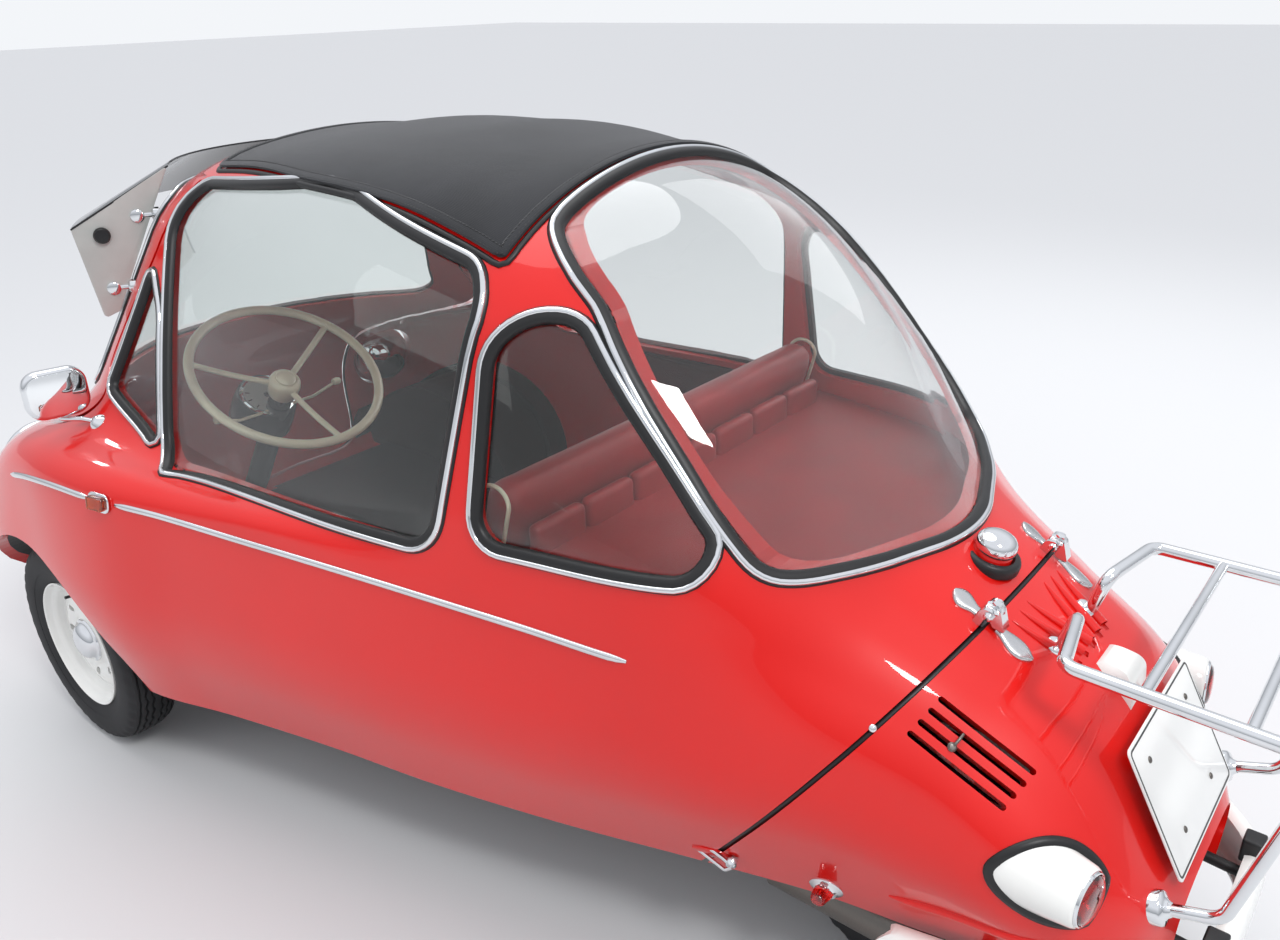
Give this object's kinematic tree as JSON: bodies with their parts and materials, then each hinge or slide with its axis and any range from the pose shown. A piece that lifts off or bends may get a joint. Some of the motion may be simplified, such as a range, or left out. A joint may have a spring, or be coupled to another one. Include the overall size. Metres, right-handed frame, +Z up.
{
  "type": "bubble car",
  "caption": "Small bubble car with a front-opening door, fabric roof panel, clear rear bubble and close-set rear wheels.",
  "frame": {"origin": "centre of the bounding box in plan, at ground level", "axes": "+Z up, the car's front faces -Y, its left side is +X"},
  "size_m": [1.402, 2.7214, 1.333],
  "materials": {
    "red_paint": "gloss",
    "black_paint": "satin",
    "clear_glass": "gloss",
    "canvas": "matte",
    "red_vinyl": "satin",
    "bright_metal": "gloss",
    "white_paint": "gloss",
    "tyre_rubber": "matte",
    "cast_metal": "satin",
    "red_lens": "gloss",
    "amber_lens": "gloss",
    "cream_plastic": "gloss",
    "grey_plastic": "satin"
  },
  "bodies": {
    "body": {"body_shell": "red_paint", "floor_pan": "black_paint", "rear_shelf": "red_vinyl", "roof_canvas": "canvas", "rear_bubble": "clear_glass", "seat_cushion": "red_vinyl", "seat_back": "red_vinyl", "steering_column": "black_paint", "mirror_left": "bright_metal", "filler_cap": "bright_metal", "engine_block": "cast_metal", "rear_arm": "black_paint", "silencer": "bright_metal", "front_axle": "black_paint", "side_window_left": "clear_glass", "side_window_right": "clear_glass", "quarter_window_left": "clear_glass", "quarter_window_right": "clear_glass", "rear_side_window_left": "clear_glass", "rear_side_window_right": "clear_glass", "headlamp_left": "bright_metal", "headlamp_right": "bright_metal", "headlamp_lens_left": "clear_glass", "headlamp_lens_right": "clear_glass", "indicator_left": "amber_lens", "indicator_right": "amber_lens", "side_strip_left": "bright_metal", "side_strip_right": "bright_metal", "front_strip_left": "bright_metal", "front_strip_right": "bright_metal"},
    "door": {"door_panel": "red_paint", "windscreen": "clear_glass", "door_handle": "bright_metal", "sun_visor": "grey_plastic"},
    "cover": {"engine_cover": "red_paint", "number_plate": "white_paint", "plate_lamp": "white_paint", "rear_bumper": "white_paint", "luggage_rack": "bright_metal", "tail_lamp_left": "white_paint", "tail_lamp_right": "white_paint", "tail_lens_left": "red_lens", "tail_lens_right": "red_lens", "reflector_left": "red_lens", "reflector_right": "red_lens"},
    "steering": {"steering_wheel": "cream_plastic"},
    "knuckle_l": {"knuckle_left": "black_paint"},
    "knuckle_r": {"knuckle_right": "black_paint"},
    "wheel_fl": {"front_tyre_left": "tyre_rubber", "front_wheel_left": "white_paint"},
    "wheel_fr": {"front_tyre_right": "tyre_rubber", "front_wheel_right": "white_paint"},
    "wheels_rear": {"rear_tyre_left": "tyre_rubber", "rear_tyre_right": "tyre_rubber", "rear_wheel_left": "white_paint", "rear_wheel_right": "white_paint"}
  },
  "joints": [
    {"name": "door_hinge", "type": "hinge", "parent": "body", "child": "door", "pos_m": [0.41, -1.325, 0.395], "axis": [0, 0, 1], "range_deg": [0, 78]},
    {"name": "cover_hinge", "type": "hinge", "parent": "body", "child": "cover", "pos_m": [0, 0.903, 0.742], "axis": [1, 0, 0], "range_deg": [0, 60]},
    {"name": "steer_left", "type": "hinge", "parent": "body", "child": "knuckle_l", "pos_m": [0.545, -0.925, 0.239], "axis": [0, 0, 1], "range_deg": [-30, 30]},
    {"name": "steer_right", "type": "hinge", "parent": "body", "child": "knuckle_r", "pos_m": [-0.545, -0.925, 0.239], "axis": [0, 0, 1], "range_deg": [-30, 30]},
    {"name": "steering_wheel_turn", "type": "hinge", "parent": "body", "child": "steering", "pos_m": [0.25, -0.586, 0.805], "axis": [0, 0.5477, 0.8367], "range_deg": [-270, 270]},
    {"name": "front_left_spin", "type": "hinge", "parent": "knuckle_l", "child": "wheel_fl", "pos_m": [0.61, -0.925, 0.239], "axis": [1, 0, 0], "continuous": true},
    {"name": "front_right_spin", "type": "hinge", "parent": "knuckle_r", "child": "wheel_fr", "pos_m": [-0.61, -0.925, 0.239], "axis": [1, 0, 0], "continuous": true},
    {"name": "rear_spin", "type": "hinge", "parent": "body", "child": "wheels_rear", "pos_m": [0, 0.835, 0.239], "axis": [1, 0, 0], "continuous": true}
  ],
  "couplings": [
    {"joint": "steer_right", "follows": "steer_left", "ratio": 1},
    {"joint": "steering_wheel_turn", "follows": "steer_left", "ratio": 9}
  ]
}
